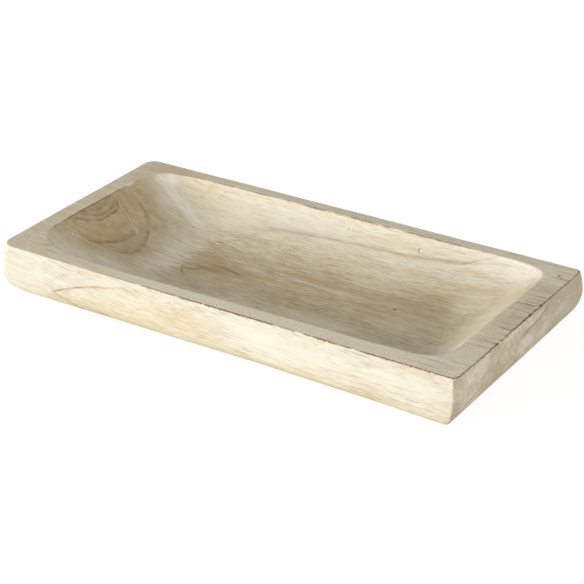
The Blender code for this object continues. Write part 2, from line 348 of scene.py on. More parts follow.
def wander(points, wavelength, seed):
    """Smooth random offsets between -1 and 1 along each axis, from a few crossing waves."""
    random = np.random.default_rng(seed)
    total = np.zeros_like(points)
    for _ in range(9):
        direction = random.normal(size=3)
        direction *= 2 * math.pi / (wavelength * random.uniform(0.7, 1.5) * np.linalg.norm(direction))
        phase = random.uniform(0, 2 * math.pi)
        total += np.outer(np.sin(points @ direction + phase), random.normal(size=3))
    return np.clip(total / 6, -1, 1)


# Handwork: the rim's inner edge wanders, the basin shows shallow gouge facets, and the outer faces
# dip a little below the plank's straight sides
loose = np.clip(-from_outer_edge / EDGE_WANDER_REACH, 0, 1)[:, None]
gouged = np.clip(-from_inner_edge / GOUGE_REACH, 0, 1)[:, None]
outside_share = np.clip((from_outer_edge[:, None] + FACE_DIP_REACH) / FACE_DIP_REACH, 0, 1)
plan = np.array([1.0, 1.0, 0.0])
moved = points + loose * plan * EDGE_WANDER * wander(points, EDGE_WANDER_LENGTH, 11)
moved[:, 2:] += gouged * GOUGE_DEPTH * wander(points * (0.5, 1, 1), GOUGE_LENGTH, 12)[:, 2:]
dip = FACE_DIP * (0.5 + 0.5 * wander(points, FACE_DIP_LENGTH, 13)[:, :1]) * outside_share
on_face = np.abs(points[:, :2]) > (half_length - FACE_STRIPS[0], half_width - FACE_STRIPS[1])
moved[:, :2] -= np.sign(points[:, :2]) * dip * on_face
points = moved

body_mesh = bpy.data.meshes.new("carved_body")
body_mesh.from_pydata(points.tolist(), [], faces)
body_mesh.validate()
body_mesh.update()
body_mesh.shade_smooth()
for name, values in (("from_inner_edge", from_inner_edge), ("from_outer_edge", from_outer_edge)):
    layer = body_mesh.attributes.new(name, "FLOAT", "POINT")
    layer.data.foreach_set("value", values.astype(np.float32))

# Which way the outside looks at each point, so that each face of the plank keeps its own grain, and
# the right end with its cut corner can take a darker tint and painted shade
normals = np.zeros(len(points) * 3, np.float32)
body_mesh.vertex_normals.foreach_get("vector", normals)
normals = normals.reshape(-1, 3) * (from_outer_edge > -OUTSIDE_MARGIN)[:, None]
facing_layer = body_mesh.attributes.new("facing", "FLOAT_VECTOR", "POINT")
facing_layer.data.foreach_set("vector", normals.astype(np.float32).ravel())
body = bpy.data.objects.new("carved_body", body_mesh)
scene.collection.objects.link(body)

# Carved body, the wood
# Pale, coarse hardwood under a thin worn whitewash. The heart of the log ran just above the left
# end, so the left slope shows arcs of growth rings, the floor long streaks, the sides paler wood.
PALE_WOOD = (0.815, 0.755, 0.605, 1)
HONEY_WOOD = (0.735, 0.645, 0.460, 1)
TAN_WOOD = (0.540, 0.430, 0.270, 1)
BROWN_WOOD = (0.400, 0.300, 0.175, 1)
DARK_WOOD = (0.380, 0.275, 0.160, 1)
LIGHT_FIBRE = (0.870, 0.825, 0.700, 1)
ARC_BROWN = (0.330, 0.232, 0.130, 1)
RIM_WASH = (0.935, 0.845, 0.650, 1)
VESSEL_GREY_AND_CRACK_SHADE = (0.245, 0.195, 0.140, 1)
EDGE_BROWN = (0.230, 0.135, 0.070, 1)
CRACK_SHADOW_BLACK = (0.070, 0.065, 0.065, 1)
CHIP_AND_GLINT_WHITE = (0.880, 0.870, 0.830, 1)
HEART_TINT = (0.838, 0.765, 0.592, 1)
WARM_TINT = (0.925, 0.880, 0.770, 1)
GREY_TINT = (1.000, 0.985, 0.960, 1)
WHITEWASH = (0.865, 0.825, 0.725, 1)
FLOOR_TINT = (1.000, 0.985, 0.925, 1)
STEEP_BROWN = (0.370, 0.240, 0.110, 1)
BARE_WOOD = (0.880, 0.805, 0.635, 1)
FOLD_BROWN = (0.470, 0.325, 0.185, 1)
FRONT_LEFT_TINT = (0.930, 0.945, 0.970, 1)
PEACH = (0.800, 0.560, 0.340, 1)
LEFT_RIM_TINT = (0.985, 0.955, 0.900, 1)
BACK_CORNER_BROWN = (0.560, 0.410, 0.250, 1)
LIP_WHITE = (0.880, 0.870, 0.820, 1)
END_TINT_AND_SHADE = (0.945, 0.905, 0.860, 1)
END_SMEAR = (0.480, 0.395, 0.270, 1)
END_FLECK = (0.470, 0.390, 0.270, 1)
END_SHADE = (0.450, 0.370, 0.260, 1)
END_FOOT_PAINTED_SHADE = (0.400, 0.340, 0.230, 1)
PINHOLE_SHADOW = (0.260, 0.210, 0.150, 1)
FILLER_AND_HIGHLIGHT_WHITE = (0.900, 0.880, 0.820, 1)
KNOT_RED = (0.270, 0.070, 0.025, 1)
KNOT_BROWN = (0.280, 0.120, 0.060, 1)
KNOT_TAN = (0.300, 0.160, 0.090, 1)
NICK_BROWN = (0.230, 0.150, 0.090, 1)
HEART_HEIGHT = 0.057
RINGS_PER_METRE = 155
CRACK_ENDS_MM = (193, 203)


class Formula:
    """Adds nodes to one shader tree, so that a line of code reads as a formula. Its colour starts as
    the bare material's, and each layer laid over it is one more coat, stain or mark."""

    def __init__(self, tree, colour=None):
        self.tree = tree
        self.colour = colour

    def node(self, kind, values=None, **settings):
        node = self.tree.nodes.new("ShaderNode" + kind)
        for name, setting in settings.items():
            setattr(node, name, setting)
        for name, value in (values or {}).items():
            self.put(node.inputs[name], value)
        return node

    def put(self, socket, value):
        if isinstance(value, bpy.types.NodeSocket):
            self.tree.links.new(value, socket)
        else:
            socket.default_value = value

    def parts(self, value):
        return self.node("SeparateXYZ", {0: value}).outputs

    def attribute(self, name, output="Fac"):
        return self.node("Attribute", attribute_name=name).outputs[output]

    def math(self, operation, first, second=0.0, third=0.0):
        return self.node("Math", {0: first, 1: second, 2: third}, operation=operation).outputs[0]

    def times(self, first, *others):
        for other in others:
            first = self.math("MULTIPLY", first, other)
        return first

    def plus(self, first, *others):
        for other in others:
            first = self.math("ADD", first, other)
        return first

    def most(self, first, *others):
        for other in others:
            first = self.math("MAXIMUM", first, other)
        return first

    def less(self, first, second):
        return self.math("SUBTRACT", first, second)

    def rise(self, value, low, high):
        """0 below low, 1 above high, and a smooth ramp between."""
        values = {"Value": value, "From Min": low, "From Max": high}
        return self.node("MapRange", values, interpolation_type="SMOOTHSTEP").outputs["Result"]

    def fall(self, value, low, high):
        return self.less(1.0, self.rise(value, low, high))

    def stretch(self, value, low, high, new_low, new_high):
        values = {
            "Value": value, "From Min": low, "From Max": high, "To Min": new_low, "To Max": new_high,
        }
        return self.node("MapRange", values).outputs["Result"]

    def vector(self, operation, first, second):
        return self.node("VectorMath", {0: first, 1: second}, operation=operation).outputs[0]

    def noise(self, place, scales, detail=3.0, roughness=0.55, shift=0.0, output="Fac"):
        scaled = self.vector("MULTIPLY", place, scales)
        moved = self.vector("ADD", scaled, (shift, shift * 0.7, shift * 1.3))
        values = {"Vector": moved, "Scale": 1.0, "Detail": detail, "Roughness": roughness}
        return self.node("TexNoise", values).outputs[output]

    def blend(self, amount, first, second, kind="MIX"):
        node = self.node("Mix", {"Factor": amount}, data_type="RGBA", blend_type=kind)
        first_colour, second_colour = node.inputs[6:8]
        self.put(first_colour, first)
        self.put(second_colour, second)
        return node.outputs[2]

    def lay(self, tone, *amounts, kind="MIX"):
        """Lays a tone over the colour so far, as strongly as the amounts multiplied together."""
        self.colour = self.blend(self.times(*amounts), self.colour, tone, kind)

    def curve(self, value, points):
        """A smooth curve through (value, result) points."""
        starts = [point[0] for point in points]
        ends = [point[1] for point in points]
        low, high = min(ends), max(ends)
        node = self.node("FloatCurve", {"Value": self.stretch(value, starts[0], starts[-1], 0.0, 1.0)})
        handles = node.mapping.curves[0].points
        for number, (start, end) in enumerate(points):
            place = (start - starts[0]) / (starts[-1] - starts[0])
            level = (end - low) / (high - low)
            if number in (0, len(points) - 1):
                handles[-1 if number else 0].location = (place, level)
            else:
                handles.new(place, level)
        node.mapping.update()
        return self.stretch(node.outputs[0], 0.0, 1.0, low, high)

    def line(self, along, across, points_mm, before_mm, after_mm, fade_mm):
        """1 on a line through (along, across) points, 0 as far before or after it as told."""
        low = points_mm[0][0] / 1000
        high = points_mm[-1][0] / 1000
        fade = fade_mm / 1000
        drawn = self.curve(along, [(start / 1000, end / 1000) for start, end in points_mm])
        offset = self.less(across, drawn)
        before = self.rise(offset, -before_mm / 1000, 0.0)
        after = self.fall(offset, 0.0, after_mm / 1000)
        near = self.math("POWER", self.times(before, after), 1.5)
        ends = self.times(self.rise(along, low, low + fade), self.fall(along, high - fade, high))
        return self.times(near, ends)


# The marks were drawn on a body 1.3 per cent larger than this one, so its points are scaled to it
MARKS_SCALE = (1.0130, 1.0130, 1.0130)
MARKS_SHIFT = (0.0012, 0.0, -0.0005)
wood = bpy.data.materials.new("whitewashed wood")
wood.use_nodes = True
paint = Formula(wood.node_tree, PALE_WOOD)
place = paint.vector("MULTIPLY", paint.node("TexCoord").outputs["Object"], MARKS_SCALE)
place = paint.vector("ADD", place, MARKS_SHIFT)
x, y, z = paint.parts(place)
inner = paint.attribute("from_inner_edge")
outer = paint.attribute("from_outer_edge")
rightward, backward, upward = paint.parts(paint.attribute("facing", "Vector"))
right_end = paint.rise(rightward, 0.45, 0.70)
either_end = paint.rise(paint.math("ABSOLUTE", rightward), 0.45, 0.70)
front_face = paint.fall(backward, -0.70, -0.45)
underside = paint.fall(upward, -0.80, -0.50)
in_basin = paint.fall(inner, -0.0008, 0.0)
rim = paint.times(
    paint.rise(inner, -0.0002, 0.0006), paint.rise(outer, -1.0, -0.0006), paint.fall(outer, 0.0, 0.0006),
)
wobble = paint.times(paint.less(paint.noise(place, (110, 110, 110), 2.0, 0.6, 14.2), 0.5), 0.0036)
wavy_x = paint.plus(x, wobble)
wavy_y = paint.plus(y, paint.times(wobble, 0.6))
wavy_z = paint.plus(z, paint.times(wobble, 0.35))


def spot(centre_mm, reach_mm, amount=1.0):
    """The amount in the middle of a soft-edged ellipsoid, 0 outside it."""
    centre = [value / 1000 for value in centre_mm]
    reach = [value / 1000 for value in reach_mm]
    scaled = paint.vector("DIVIDE", paint.vector("SUBTRACT", place, centre), reach)
    distance = paint.node("VectorMath", {0: scaled}, operation="LENGTH").outputs["Value"]
    return paint.times(paint.fall(distance, 0.25, 1.0), amount)


# The grain runs along the tray, drifts a little, and falls towards the right on the front's left half
drift = paint.vector("SUBTRACT", paint.noise(place, (7, 16, 16), 2.0, output="Color"), (0.5, 0.5, 0.5))
fall_of_grain = paint.curve(x, [(-0.2, 0.0), (-0.1, 0.009), (0.0, 0.014), (0.2, 0.016)])
fallen = paint.node("CombineXYZ", {"Z": paint.times(front_face, fall_of_grain)}).outputs[0]
grain_place = paint.vector("ADD", place, paint.vector("MULTIPLY", drift, (0.0, 0.016, 0.016)))
grain_place = paint.vector("ADD", grain_place, fallen)
grain_y, grain_z = paint.parts(grain_place)[1:]

# Growth rings around a heart line that runs above the tray and drifts back towards the right end
heart_y = paint.curve(x, [(-0.2, 0.0025), (-0.1, 0.003), (0.0, 0.010), (0.2, 0.026)])
radius = paint.math("SQRT", paint.plus(
    paint.math("POWER", paint.less(grain_y, heart_y), 2.0),
    paint.math("POWER", paint.less(grain_z, HEART_HEIGHT), 2.0),
))
unevenness = paint.times(paint.noise(place, (4, 9, 9), 1.0, shift=4.1), 1.6)
ring_count = paint.plus(paint.times(radius, RINGS_PER_METRE), unevenness)
ring_place = paint.math("FRACT", ring_count)
late_wood = paint.times(paint.rise(ring_place, 0.30, 0.93), paint.fall(ring_place, 0.93, 1.0))
heart = paint.times(paint.fall(radius, 0.047, 0.068), in_basin, paint.stretch(x, -0.05, 0.18, 1.0, 0.6))

# Streaks, fibres and short dark vessels, all drawn out along the grain
streak = paint.noise(grain_place, (8, 130, 130), 3.0, 0.6)
band = paint.noise(grain_place, (14, 260, 260), 2.0, 0.6, 1.7)
fibre = paint.noise(grain_place, (38, 640, 640), 3.0, 0.65, 3.3)
hair = paint.noise(grain_place, (75, 980, 980), 2.0, 0.6, 7.7)
dash = paint.noise(grain_place, (110, 900, 900), 2.0, 0.6, 21.3)
mottle = paint.noise(place, (22, 30, 30), 3.0, 0.6, 9.1)
speck = paint.noise(place, (640, 900, 900), 2.0, 0.6, 6.1)
vessel = paint.times(
    paint.rise(paint.noise(grain_place, (55, 900, 900), 1.0, 0.5, 5.9), 0.58, 0.70),
    paint.rise(paint.noise(place, (10, 36, 36), 2.0, 0.5, 2.2), 0.36, 0.60),
)
side_wood = paint.rise(paint.math("ABSOLUTE", y), 0.055, 0.075)
slopes = paint.times(paint.most(paint.fall(x, -0.160, -0.125), paint.rise(x, 0.130, 0.155)), in_basin)
long_grain = paint.less(1.0, paint.most(
    paint.times(either_end, 0.88), paint.times(slopes, 0.55), paint.times(rim, 0.35),
    paint.times(paint.rise(y, 0.030, 0.060), in_basin, 0.32),
    paint.times(front_face, paint.stretch(paint.fall(x, -0.185, -0.130), 0.0, 1.0, 0.30, 0.60)),
))
paint.lay(HONEY_WOOD, paint.rise(streak, 0.38, 0.62), paint.stretch(side_wood, 0.0, 1.0, 1.0, 0.6))
paint.lay(TAN_WOOD, paint.rise(band, 0.50, 0.68), paint.stretch(side_wood, 0.0, 1.0, 0.34, 0.22))
ring_strength = paint.plus(0.08, paint.times(heart, 0.22), paint.times(right_end, 0.14))
paint.lay(TAN_WOOD, late_wood, ring_strength)
paint.lay(HEART_TINT, heart, kind="MULTIPLY")
paint.lay(TAN_WOOD, paint.rise(fibre, 0.50, 0.70), long_grain, 0.44)
paint.lay(LIGHT_FIBRE, paint.fall(fibre, 0.30, 0.46), long_grain, 0.45)
paint.lay(TAN_WOOD, paint.rise(hair, 0.50, 0.66), long_grain, 0.52)
paint.lay(LIGHT_FIBRE, paint.fall(dash, 0.34, 0.46), long_grain, 0.34)
paint.lay(BROWN_WOOD, paint.rise(dash, 0.56, 0.70), long_grain, 0.55)
paint.lay(DARK_WOOD, vessel, long_grain, 0.62)

# Left slope: nested arcs where it cuts the rings, browner towards the rim, and a pale scraped streak
left_slope = paint.times(paint.fall(x, -0.118, -0.092), in_basin)
arc_break = paint.stretch(paint.noise(place, (120, 120, 120), 3.0, 0.70, 8.3), 0.34, 0.66, 0.15, 1.20)
for points_mm, before_mm, after_mm, amount in (
    (
        [(-18, -186), (-13.5, -182), (-10.9, -181.2), (-0.9, -178.9), (7.5, -179.1), (14.2, -181),
         (21, -184)],
        2.4, 0.9, 0.75,
    ),
    (
        [(-25, -185), (-21.2, -182.1), (-16.3, -180.9), (-8.5, -176), (0.5, -173.9), (9.7, -174.8),
         (17.8, -177.8), (22, -182)],
        2.4, 0.9, 0.80,
    ),
    (
        [(-33, -183), (-29.6, -181.5), (-24.9, -179.3), (-15.5, -174.2), (-6.2, -171.3), (2.8, -170.7),
         (12.3, -171.8), (19.4, -175), (25, -181)],
        3.0, 1.0, 0.85,
    ),
    (
        [(-38.5, -170), (-35.9, -163.2), (-34.1, -160.7), (-31.1, -158.1), (-26.3, -154.9),
         (-20.1, -151.7), (-14.9, -149.7), (-9, -148.1), (-1.4, -147.8), (5.1, -148.7), (9.6, -150.6),
         (12.2, -153.9),
         (15.2, -161.1), (17.6, -168.7), (20.2, -175.6), (24, -182)],
        6.0, 1.1, 0.85,
    ),
    (
        [(-32.5, -158), (-30, -152.1), (-28.6, -147.3), (-27.3, -144.3), (-25.1, -140.1), (-21.3, -136.1),
         (-15.5, -133.5), (-9.8, -132.7), (-3.9, -133.1), (8, -137.9), (20.3, -144.9), (28.1, -150.7),
         (34.2, -157), (38.9, -164.3), (42, -171)],
        7.0, 1.2, 0.72,
    ),
):
    arc = paint.line(wavy_y, wavy_x, points_mm, before_mm, after_mm, 4)
    paint.lay(ARC_BROWN, arc, arc_break, left_slope, amount)
brown_eye = spot((-186, 2, 40), (20, 32, 20))
arc_shade = paint.most(
    paint.times(brown_eye, 0.34),
    spot((-150, -7, 22), (12, 14, 12), 0.34),
    spot((-139, 29, 17), (12, 9, 8), 0.40),
    spot((-138, -8, 17), (12, 22, 10), 0.24),
)
paint.lay(HEART_TINT, left_slope, 0.30, kind="MULTIPLY")
paint.lay(ARC_BROWN, arc_shade, arc_break, left_slope)

# Floor: a flame where the slope meets the heart wood, and a few long darker and lighter bands
floor_dark = paint.most(
    spot((-66, 5, 10.6), (48, 12, 20)),
    spot((-86, 25, 12), (24, 9, 10), 0.8),
    spot((-55, -28, 10.6), (55, 11, 20), 0.8),
    spot((5, 0, 10.6), (32, 6, 20), 0.7),
    spot((66, 2, 10.6), (50, 8, 20), 0.3),
    spot((-84, 8, 10.6), (27, 32, 20), 0.85),
)
flame = paint.most(
    paint.line(
        wavy_x, wavy_y,
        [(-93, -6.6), (-81.3, -5.2), (-77, -1.8), (-75.7, 4.7), (-72.4, 8.2), (-64.8, 8.5), (-54, 6.7),
         (-42, 3)],
        5, 1.2, 5,
    ),
    paint.line(
        wavy_y, wavy_x,
        [(-20, -79), (-18.5, -81.5), (-16.1, -86.1), (-10.2, -90.8), (-3, -93.1)],
        1.2, 3, 3,
    ),
    spot((-69, 0, 10.6), (22, 8, 20), 0.6),
)
paint.lay(ARC_BROWN, flame, in_basin, 0.90)
paint.lay(BROWN_WOOD, floor_dark, in_basin, paint.rise(fibre, 0.30, 0.60), 0.40)
thin_line = paint.line(wavy_x, wavy_y, [(86, 21), (100, 21.3), (110.7, 22.3), (120, 22.4)], 0.8, 0.8, 4)
paint.lay(ARC_BROWN, thin_line, in_basin, 0.55)
pale_line = paint.most(
    paint.line(
        x, wavy_y, [(-30, 24), (-9.6, 22), (3.6, 20.2), (16.9, 20.8), (29.3, 18.5), (48, 18)], 3, 3, 12,
    ),
    spot((-41, 18, 10.6), (17, 6, 20), 0.8),
)
paint.lay(WHITEWASH, pale_line, in_basin, 0.60)

# Back wall: one long grey-brown ring line, and a steeper brown one near the right end
back_wall = paint.times(paint.rise(y, 0.050, 0.062), in_basin)
line_break = paint.stretch(paint.noise(place, (45, 200, 200), 3.0, 0.6, 8.8), 0.35, 0.65, 0.20, 1.0)
long_line = paint.line(
    x, wavy_z,
    [(-70, 20.6), (-50.8, 21.4), (3, 23.8), (39.9, 24.7), (74.1, 26), (107.9, 29.7), (140.4, 34.2),
     (160, 37.5)],
    1.4, 2.4, 16,
)
steep_line = paint.line(
    x, wavy_z,
    [(85, 26.4), (96, 26.9), (104, 27.6), (112.7, 29.4), (120, 32.1), (127.4, 34.9), (134.9, 37.8),
     (141, 39.8)],
    1.0, 2.2, 8,
)
paint.lay(BROWN_WOOD, long_line, back_wall, line_break, 0.72)
paint.lay(STEEP_BROWN, steep_line, back_wall, line_break, 1.00)

# Thin whitewash, brushed on and mostly rubbed off, left in hollows and on the end slopes
brushed = paint.noise(place, (24, 420, 60), 3.0, 0.6, 4.4)
blotches = paint.times(paint.less(mottle, 0.5), 0.040)
foot_edge = paint.plus(x, blotches, paint.times(paint.less(fibre, 0.5), 0.060))
foot_band = paint.times(
    paint.rise(foot_edge, -0.138, -0.106), paint.fall(foot_edge, -0.106, -0.092),
    paint.rise(y, -0.052, -0.026), paint.fall(y, 0.025, 0.065), in_basin,
)
swath_points = [(-178, 74), (-168, 75.5), (-157, 72), (-145, 66.5), (-134, 62), (-120, 55.5), (-106, 44)]
swath_curve = paint.curve(x, [(start / 1000, end / 1000) for start, end in swath_points])
swath_offset = paint.less(wavy_y, swath_curve)
swath_place = paint.node("CombineXYZ", {"X": x, "Y": swath_offset, "Z": 0.0}).outputs[0]
swath_streaks = paint.noise(swath_place, (30, 330, 1), 3.0, 0.65, 3.9)
swath = paint.times(
    paint.line(x, wavy_y, swath_points, 12, 8, 4),
    paint.stretch(swath_streaks, 0.34, 0.62, 0.35, 1.0),
    paint.stretch(x, -0.165, -0.110, 1.0, 0.35),
    in_basin,
)
wash = paint.most(
    paint.times(swath, 1.8),
    paint.times(foot_band, 0.85),
    spot((-166, 77, 36), (13, 9, 9), 1.2),
    spot((-152, 66, 26), (22, 20, 14), 0.55),
    spot((-150, -62, 30), (34, 24, 18), 0.55),
    spot((-36, 80, 29), (62, 12, 10), 0.52),
    spot((150, 80, 35), (50, 20, 14), 0.60),
    spot((-130, -45, 19), (34, 28, 16), 0.45),
    spot((-165, -100, 28), (50, 4, 16), 0.20),
    spot((-135, -100, 28), (50, 4, 12), 0.35),
    spot((62, -100, 25), (120, 4, 16), 0.58),
    spot((150, -100, 24), (70, 4, 14), 0.62),
    spot((66, -100, 27), (70, 4, 14), 0.60),
)
wash = paint.times(wash, paint.stretch(brushed, 0.32, 0.62, 0.40, 1.0))
pale_wood = paint.most(
    spot((158, 14, 26), (40, 60, 22), 0.50),
    spot((137, 47, 15), (26, 26, 14), 0.72),
    spot((40, -52, 16), (105, 22, 14), 0.62),
    spot((48, -30, 10.4), (56, 12, 10), 1.00),
    spot((42, 20, 10.4), (28, 8, 10), 0.50),
    spot((104, -4, 10.4), (38, 26, 10), 0.42),
    spot((-100, 72, 24), (44, 22, 14), 0.45),
)
pale_wood = paint.times(pale_wood, paint.stretch(brushed, 0.32, 0.62, 0.50, 1.0))
paint.lay(BARE_WOOD, pale_wood)
wash = paint.most(wash, paint.times(paint.rise(mottle, 0.52, 0.75), paint.fall(brown_eye, 0.1, 0.4), 0.35))
scrape = paint.most(
    paint.line(
        wavy_y, wavy_x,
        [(7, -148), (8.5, -149.2), (10.8, -151.9), (19.3, -168), (24, -184)],
        1.4, 1.4, 1.5,
    ),
    spot((-152, 11, 24), (8, 4.5, 8), 0.8),
)
wash = paint.most(wash, paint.times(scrape, left_slope, 0.50))
paint.lay(WHITEWASH, wash)
floor_part = paint.times(paint.fall(z, 0.013, 0.022), paint.rise(x, -0.118, -0.092), in_basin)
paint.lay(FLOOR_TINT, floor_part, kind="MULTIPLY")
open_grain = paint.most(paint.rise(hair, 0.50, 0.64), paint.rise(dash, 0.55, 0.68))
paint.lay(BROWN_WOOD, open_grain, floor_part, 0.26)

# Front face: a brown ring line folded into a sideways V near the left end, warmer wood low down
fold_upper = paint.line(
    x, wavy_z,
    [(-150, 12.4), (-146.8, 13.5), (-137.7, 17.4), (-129.8, 20.5), (-121.9, 23.3), (-112.2, 26.4),
     (-104.6, 28.3), (-97, 29.3), (-89.6, 31), (-80.3, 34.1), (-73, 36.4)],
    2.4, 1.3, 6,
)
fold_lower = paint.line(
    x, wavy_z,
    [(-150, 13.6), (-146.9, 12.6), (-143.1, 11.7), (-138.3, 10.2), (-132.8, 8.6), (-127, 6.4), (-120.9, 5),
     (-100, 3.4)],
    1.4, 2.8, 6,
)
fold_outer = paint.line(
    x, wavy_z, [(-164, 11), (-159.7, 13.4), (-149.2, 20.6), (-137.1, 28.1), (-124, 36)], 1, 4.5, 12,
)
corner_line = paint.line(x, z, [(-195.5, 23.5), (-188.7, 29.7), (-181.6, 34.8), (-172, 39.8)], 0.9, 0.9, 4)
fold = paint.plus(
    paint.times(fold_upper, paint.stretch(x, -0.115, -0.080, 1.25, 0.40)),
    paint.times(fold_lower, 0.80), paint.times(fold_outer, 0.20), paint.times(corner_line, 0.24),
    spot((-122, -100, 27), (30, 4, 6), 0.22),
)
fold_break = paint.stretch(line_break, 0.2, 1.0, 0.40, 1.0)
paint.lay(FOLD_BROWN, fold, front_face, fold_break)
warm_edge = paint.plus(z, paint.times(paint.less(band, 0.5), 0.030))
warm_patches = paint.most(
    spot((-85, -100, 8), (80, 6, 16)), spot((-22, -100, 20), (52, 4, 18)),
    spot((-128, -100, 5), (40, 8, 10), 1.6),
)
warm = paint.most(
    paint.times(paint.fall(warm_edge, 0.0070, 0.0110), paint.rise(x, -0.170, -0.110)), warm_patches,
)
paint.lay(WARM_TINT, warm, front_face, kind="MULTIPLY")
front_left = paint.times(front_face, paint.fall(x, -0.150, -0.080))
paint.lay(FRONT_LEFT_TINT, front_left, kind="MULTIPLY")
peach = paint.line(x, z, [(140, 38.6), (156.9, 38.9), (175, 39.3), (194, 39.8)], 1.6, 1.0, 12)
paint.lay(PEACH, peach, front_face, 0.55)

# Rim: grey and slightly fuzzy from the saw, with dark open vessels and cracks across the right end;
# the cracks' darkness is painted shade standing in for their grooves
rim_grey = paint.times(rim, paint.stretch(mottle, 0.35, 0.65, 0.5, 1.0))
paint.lay(GREY_TINT, rim_grey, kind="MULTIPLY")
front_rim = paint.times(rim, paint.fall(y, -0.080, -0.076), paint.rise(x, -0.150, -0.060))
right_rim = paint.times(paint.rise(x, 0.150, 0.178), rim)
paint.lay(RIM_WASH, paint.most(paint.times(front_rim, 0.65), paint.times(right_rim, 0.34)))
paint.lay(TAN_WOOD, rim, paint.rise(speck, 0.50, 0.64), 0.58)
paint.lay(WHITEWASH, front_rim, paint.fall(speck, 0.36, 0.48), 0.45)
paint.lay(LEFT_RIM_TINT, rim, paint.fall(x, -0.160, -0.120), 0.8, kind="MULTIPLY")
paint.lay(BACK_CORNER_BROWN, rim, spot((-170, 88, 40), (36, 16, 8)), 0.40)
worn_end = paint.times(spot((194, 14, 40), (20, 62, 10)), rim)
cracks = paint.rise(paint.noise(place, (30, 480, 90), 3.0, 0.65, 2.9), 0.52, 0.66)
paint.lay(VESSEL_GREY_AND_CRACK_SHADE, right_rim, cracks, paint.plus(0.36, paint.times(worn_end, 0.55)))
paint.lay(DARK_WOOD, worn_end, 0.22)
# Each crack is a dark line of painted shade where its groove would be
for crack_y, start_x in ((14, 183), (30.5, 188), (-17, 192), (-40, 186), (5, 190), (21, 191)):
    crack_points = [(start_x - 2, crack_y), (CRACK_ENDS_MM[0], crack_y + 0.8), (CRACK_ENDS_MM[1], crack_y)]
    crack = paint.line(x, wavy_y, crack_points, 0.7, 0.7, 3)
    paint.lay(VESSEL_GREY_AND_CRACK_SHADE, crack, rim, 0.65)
pale_lip = paint.line(y, x, [(-2, 186), (12, 186.6), (26, 186.6), (40, 187)], 0.6, 0.6, 4)
paint.lay(LIP_WHITE, pale_lip, rim, 0.6)

# Right end: soft smears across the end grain, darker towards its back and along its foot. The end is
# tinted darker, partly as painted shade on its cut corner, and its foot partly as painted shade of the
# undercut
end_smear = paint.noise(place, (10, 34, 110), 3.0, 0.6, 12.4)
end_fleck = paint.noise(place, (10, 380, 620), 2.0, 0.6, 15.1)
end_ring = paint.line(
    y, wavy_z, [(-6, 29.5), (3.6, 30.6), (19.7, 31.6), (31.3, 33.8), (46, 39.9)], 4, 2.4, 8,
)
end_streak = paint.line(
    y, wavy_z, [(-96, 11.5), (-83.1, 13.4), (-72.5, 15.5), (-58, 19)], 2.4, 3.4, 8,
)
end_shade = paint.most(
    paint.times(end_ring, 0.95),
    paint.times(end_streak, 0.75),
    spot((200, -94, 10), (8, 9, 7), 0.6),
    paint.times(paint.rise(y, -0.02, 0.09), 0.34),
    spot((200, 24, 24), (8, 18, 8), 0.50),
)
# The end face and its cut front corner are tinted darker, partly as painted shade that keeps the cut
# corner dark
paint.lay(END_TINT_AND_SHADE, right_end, kind="MULTIPLY")
paint.lay(END_SMEAR, right_end, paint.rise(end_smear, 0.47, 0.64), 0.42)
paint.lay(WHITEWASH, right_end, paint.fall(end_smear, 0.34, 0.49), 0.62)
paint.lay(END_FLECK, right_end, paint.rise(end_fleck, 0.52, 0.68), 0.36)
paint.lay(END_SHADE, right_end, end_shade)
# A darker band along the foot: partly darker wood, partly painted shade of the undercut
paint.lay(END_FOOT_PAINTED_SHADE, paint.fall(z, 0.004, 0.012), paint.rise(x, 0.190, 0.197), 0.5)

# Underside: flat and bare, with the faint stripes of the planing machine across it
planed = paint.rise(paint.noise(place, (260, 9, 9), 2.0, 0.5, 17.7), 0.42, 0.62)
paint.lay(TAN_WOOD, underside, planed, 0.22)

# Thin broken dark brown lines along the front and right outer top edges, and along the rim's inner
# edge at the left end and the back
edge_breakup = paint.noise(place, (55, 55, 200), 3.0, 0.7, 6.6)
edge_noise = paint.times(paint.less(paint.noise(place, (420, 420, 420), 2.0, 0.6, 1.1), 0.5), 0.0020)
outer_line = paint.fall(paint.math("ABSOLUTE", paint.plus(outer, -0.0002, edge_noise)), 0.0002, 0.0011)
front_line = paint.times(
    outer_line, paint.fall(y, -0.099, -0.096), paint.rise(edge_breakup, 0.34, 0.50),
    paint.stretch(x, -0.120, 0.000, 0.35, 1.10), paint.rise(x, -0.150, -0.110),
)
end_line = paint.times(outer_line, paint.rise(x, 0.196, 0.199), paint.stretch(edge_breakup, 0.32, 0.55, 0.40, 0.9))
inner_line = paint.fall(paint.math("ABSOLUTE", paint.plus(inner, 0.0006, edge_noise)), 0.0003, 0.0012)
left_line = paint.times(
    inner_line, paint.fall(x, -0.172, -0.166), paint.rise(edge_breakup, 0.34, 0.52),
    paint.fall(paint.math("ABSOLUTE", paint.plus(y, 0.008)), 0.036, 0.056),
)
back_line = paint.times(
    inner_line, paint.rise(y, 0.082, 0.086), paint.rise(x, -0.168, -0.162), paint.fall(x, 0.110, 0.140),
    paint.rise(edge_breakup, 0.38, 0.56),
)
edge_lines = paint.most(front_line, end_line, paint.times(left_line, 0.8), paint.times(back_line, 0.75))
paint.lay(EDGE_BROWN, edge_lines)
